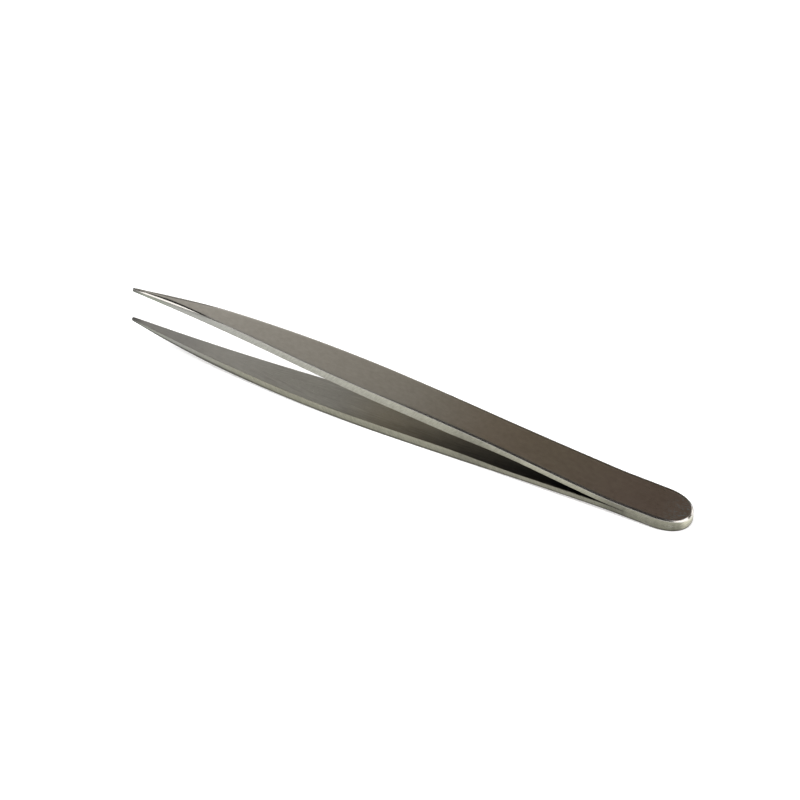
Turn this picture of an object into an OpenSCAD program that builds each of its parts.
// Precision tweezers: two spring steel strips, mirror images of each other, resistance
// welded together at the heel. Each strip has a flat heel, a thin spring section, a thick
// grip and a long needle point. The tool lies at rest on the outer face of its lower strip,
// on the plane z = 0, with its points towards +X. Millimetres.
//
// The strips are drawn in their own frame: x runs from the tail end to the needle point,
// and z = 0 is the seam plane between them. at_rest() then lays the tool down.

/* [Overall] */
// Length of each strip, from the tail end to the needle point
length = 120; // [110:1:140]
// Full width across the heel
heel_width = 8.6; // [7:0.02:10]
// Full width across the grip
grip_width = 7.5; // [6:0.01:8.2]
// Full width at the end of the needle point
point_width = 0.55; // [0.4:0.05:1]

/* [Plan outline] */
// Length of the rounded tail end
tail_round_length = 6.9; // [5:0.1:8]
// Squareness of the rounded tail end, where 2 is an ellipse
tail_squareness = 2.2; // [2:0.02:3]
// Distance from the tail end at which the heel starts to narrow
narrow_from = 10.6; // [9:0.1:16]
// Distance from the tail end at which the grip width is reached
narrow_to = 45.5; // [34:0.1:50]
// Length of the needle taper, measured back from the point
taper_length = 45; // [38:0.1:50]
// Fullness of the needle taper, where 1 is a straight taper and less is fuller
taper_fullness = 0.9; // [0.8:0.01:1]
// Softness of the shoulder between grip and taper
shoulder_softness = 0.8; // [0.3:0.05:1.5]

/* [Strip thickness] */
// Thickness of one strip at the heel
heel_thickness = 1.44; // [1.3:0.02:1.7]
// Thickness of one strip at the very end of the tail
tail_thickness = 1.26; // [0.9:0.02:1.3]
// Length over which the outer face eases down to the end of the tail
tail_relief_length = 4; // [2:0.5:8]
// Thickness of the spring section, where the strip bends
spring_thickness = 1.4; // [1.1:0.02:1.5]
// Thickness of the grip
grip_thickness = 2.16; // [1.8:0.01:2.5]
// Thickness behind the needle point
shank_thickness = 1.86; // [1.6:0.02:2]
// Thickness at the end of the needle point
point_thickness = 0.6; // [0.4:0.05:0.9]
// Length over which the needle point thins
thinning_length = 26; // [18:1:30]

/* [Bow of the strips] */
// Distance from the tail end at which the welded seam ends and the gap opens
seam_length = 14.5; // [14:0.5:18]
// Height of the outer face above the seam plane at the first third of the strip
bow_third = 4.24; // [4:0.01:4.6]
// Height of the outer face above the seam plane at the grip's front end
bow_grip = 5.56; // [5.3:0.01:5.9]
// Height of the outer face above the seam plane at the crest, the widest place
bow_crest = 6.19; // [5.9:0.01:6.8]
// Height of the outer face above the seam plane where the needle turns in
bow_needle = 5.75; // [5.6:0.01:6.1]
// Height of the outer face above the seam plane at the needle point
bow_point = 4.28; // [4:0.01:5]

/* [Needle bevels] */
// Length of the ground bevels along the outer edges of the needle
bevel_length = 17.5; // [12:0.5:20]
// Length of the ridge where the two bevels meet, measured back from the point
ridge_length = 9; // [5:0.5:11]

/* [Welds] */
// Diameter of each weld nugget
nugget_diameter = 3.2; // [2:0.1:4]
// Thickness of each weld nugget, half of it in each strip
nugget_thickness = 0.9; // [0.4:0.1:1.2]
// Distance from the tail end to the first weld nugget
nugget_first = 5.4; // [4.5:0.1:6]
// Distance between the two weld nuggets
nugget_pitch = 6.2; // [4.5:0.1:7]

/* [Hidden] */
$fn = 64;

// The spring section runs from the end of the seam to here.
spring_end = 0.35 * length;

// Where each change of thickness starts and ends.
spring_thinning = [0.2 * length, 0.275 * length];
grip_thickening = [0.283 * length, 0.433 * length];
shank_thinning = [0.483 * length, 0.7 * length];

// Stations of the outer face: distance from the tail, height above the seam plane.
BOW = [
    [0.115 * length, heel_thickness],
    [0.182 * length, heel_thickness + 0.165 * (bow_third - heel_thickness)],
    [0.415 * length, bow_third],
    [0.622 * length, bow_grip],
    [0.789 * length, bow_crest],
    [0.896 * length, bow_needle],
    [length, bow_point]
];
bow_start = BOW[0][0];

// Half sizes of the prisms that are intersected: well beyond a strip's height and width.
plan_reach = 8;
side_reach = heel_width;

// ---- Helper functions ----

function clamp_unit(t) = min(1, max(0, t));

// Smooth step from 0 to 1 over a [start, end] range.
function ease(range, x) =
    let (t = clamp_unit((x - range[0]) / (range[1] - range[0])))
    t * t * (3 - 2 * t);

// The smaller of two values, with the corner between them rounded.
function soft_min(a, b, softness) =
    let (share = clamp_unit(0.5 + 0.5 * (b - a) / softness))
    b + (a - b) * share - softness * share * (1 - share);

// Stations between two distances from the tail, evenly spaced, at most one pitch apart.
function stations(from, to, pitch) =
    let (count = ceil((to - from) / pitch))
    [for (i = [0:count]) from + (to - from) * i / count];

function reversed(list) = [for (i = [len(list) - 1:-1:0]) list[i]];

// ---- Half width of a strip at a distance x from the tail end ----

function tail_factor(x) =
    x >= tail_round_length ? 1
    : pow(max(0, 1 - pow((tail_round_length - x) / tail_round_length, tail_squareness)),
          1 / tail_squareness);

function body_half(x) =
    heel_width / 2 - (heel_width - grip_width) / 2 * ease([narrow_from, narrow_to], x);

function needle_half(x) =
    point_width / 2
    + (grip_width - point_width) / 2 * pow(max(0, length - x) / taper_length, taper_fullness);

function half_width(x) =
    soft_min(body_half(x), needle_half(x), shoulder_softness) * tail_factor(x);

// ---- Height of the outer face: a cubic curve through the BOW stations ----

// Mean slope between stations i and j.
function chord_slope(i, j) = (BOW[j][1] - BOW[i][1]) / (BOW[j][0] - BOW[i][0]);

// Slope of the curve at station i, level where it leaves the heel.
function bow_slope(i) =
    i == 0 ? 0
    : i == len(BOW) - 1 ? 2 * chord_slope(i - 1, i) - bow_slope(i - 1)
    : chord_slope(i - 1, i + 1);

// Index of the station at the tail side of x.
function bow_index(x, i = 0) =
    i >= len(BOW) - 2 || x < BOW[i + 1][0] ? i : bow_index(x, i + 1);

function bow_curve(x) =
    let (i = bow_index(x),
         span = BOW[i + 1][0] - BOW[i][0],
         t = (x - BOW[i][0]) / span)
    BOW[i][1] * (2 * pow(t, 3) - 3 * t * t + 1)
    + span * bow_slope(i) * (pow(t, 3) - 2 * t * t + t)
    + BOW[i + 1][1] * (3 * t * t - 2 * pow(t, 3))
    + span * bow_slope(i + 1) * (pow(t, 3) - t * t);

function tail_relief(x) =
    (heel_thickness - tail_thickness) * pow(clamp_unit(1 - x / tail_relief_length), 2);

function outer(x) = x <= bow_start ? heel_thickness - tail_relief(x) : bow_curve(x);

// ---- Thickness of a strip, and height of its inner face above the seam plane ----

function thickness(x) =
    heel_thickness
    + (spring_thickness - heel_thickness) * ease(spring_thinning, x)
    + (grip_thickness - spring_thickness) * ease(grip_thickening, x)
    + (shank_thickness - grip_thickness) * ease(shank_thinning, x)
    - (shank_thickness - point_thickness)
        * pow(clamp_unit(1 - (length - x) / thinning_length), 2);

function inner(x) = x <= seam_length ? 0 : max(0, outer(x) - thickness(x));

// ---- Resting pose: the lower strip touches z = 0 at its tail end and at its belly ----

// How far the lower outer face hangs below the frame's origin at a given tilt.
function drop(x, tilt) = outer(x) * cos(tilt) - x * sin(tilt);
function tail_drop(tilt) = max([for (x = stations(0, 7, 0.1)) drop(x, tilt)]);
function belly_drop(tilt) = max([for (x = stations(0.3 * length, length, 0.5)) drop(x, tilt)]);

// Corrects the tilt step by step until both drops agree.
contact_span = 0.6 * length; // rough distance between the two contacts
function level(tilt, steps) =
    steps == 0 ? tilt
    : level(tilt + (belly_drop(tilt) - tail_drop(tilt)) / contact_span * 180 / PI, steps - 1);

rest_tilt = level(tilt = 3.4, steps = 12);
rest_height = tail_drop(rest_tilt);
// Half of the tilted tool's extent along X, which centres it on x = 0.
rest_back = (length * cos(rest_tilt) + (outer(length) - outer(0)) * sin(rest_tilt)) / 2;

module at_rest() {
    translate([-rest_back, 0, rest_height])
        rotate([0, -rest_tilt, 0])
            children();
}

// ---- Prisms ----

// Side view outline [x, z], extruded across the strip.
module side_prism(outline) {
    rotate([90, 0, 0])
        translate([0, 0, -side_reach])
            linear_extrude(2 * side_reach)
                polygon(outline);
}

// Plan view outline [x, y], extruded through the strip's height.
module plan_prism(outline) {
    translate([0, 0, -plan_reach])
        linear_extrude(2 * plan_reach)
            polygon(outline);
}

function outer_line(xs) = [for (x = xs) [x, outer(x)]];

function side_outline(xs) = concat(outer_line(xs), [for (x = reversed(xs)) [x, inner(x)]]);

function plan_outline(xs) =
    concat([for (x = xs) [x, -half_width(x)]],
           [for (x = reversed(xs)) [x, half_width(x)]]);

// A large block that lies on the plane through three points, on the side of its normal.
module block_on_plane(p1, p2, p3) {
    side = 80;
    height = 20;
    cross_normal = cross(p2 - p1, p3 - p1);
    normal = cross_normal / norm(cross_normal);
    translate(p1)
        rotate(a = acos(normal[2]), v = cross([0, 0, 1], normal))
            translate([-side / 2, -side / 2, 0])
                cube([side, side, height]);
}

// ---- Pieces of the upper strip, and the nuggets ----

module nuggets() {
    for (i = [0:1])
        translate([nugget_first + i * nugget_pitch, 0, -nugget_thickness / 2])
            cylinder(d = nugget_diameter, h = nugget_thickness);
}

// One heel: flat outer face, rounded tail, and a recess filled by each weld nugget.
module heel() {
    top_xs = concat(stations(0, tail_relief_length, 0.5), [bow_start, seam_length]);
    // Equal steps of angle crowd the stations towards the blunt tail end.
    tail_xs = [for (angle = [7.5:7.5:90]) tail_round_length * (1 - cos(angle))];
    edge_xs = concat(tail_xs, [10, 12.5, seam_length + 1]);
    difference() {
        intersection() {
            side_prism(concat(outer_line(top_xs), [[seam_length, 0], [0, 0]]));
            plan_prism(concat([[0, 0]], plan_outline(edge_xs)));
        }
        nuggets();
    }
}

// One spring section: the thin part of the strip between heel and grip.
// Its plan runs past the side view at both ends, so the side view sets the length.
module spring() {
    intersection() {
        side_prism(side_outline(stations(seam_length, spring_end, 1.3)));
        plan_prism(plan_outline(stations(seam_length - 0.9, spring_end + 0.7, 2.1)));
    }
}

// One arm: thick grip, and needle point with a ground bevel on each outer edge.
module arm() {
    bevel_start = length - bevel_length;
    ridge_start = length - ridge_length;
    // The plan stops just short of the full length, which blunts the point.
    plan_xs = concat(stations(spring_end - 0.8, length - 0.4, 2.3), [length - 0.2]);
    difference() {
        intersection() {
            side_prism(side_outline(stations(spring_end, length, 1.9)));
            plan_prism(plan_outline(plan_xs));
            // Keeps the arm above the seam plane.
            translate([0, -side_reach, 0])
                cube([length, 2 * side_reach, 2 * plan_reach]);
        }
        for (flip = [1, 0])
            mirror([0, flip, 0])
                block_on_plane([bevel_start, half_width(bevel_start), outer(bevel_start)],
                               [ridge_start, 0, outer(ridge_start)],
                               [length, 0, outer(length)]);
    }
}

// ---- Nodes: the lower strip mirrors the upper one in the seam plane ----

module upper_heel() { color("silver") at_rest() heel(); }
module lower_heel() { color("silver") at_rest() mirror([0, 0, 1]) heel(); }
module weld_nuggets() { color("slategray") at_rest() nuggets(); }
module upper_spring() { color("darkgray") at_rest() spring(); }
module lower_spring() { color("darkgray") at_rest() mirror([0, 0, 1]) spring(); }
module upper_arm() { color("lightgray") at_rest() arm(); }
module lower_arm() { color("lightgray") at_rest() mirror([0, 0, 1]) arm(); }

upper_heel();
lower_heel();
weld_nuggets();
upper_spring();
lower_spring();
upper_arm();
lower_arm();
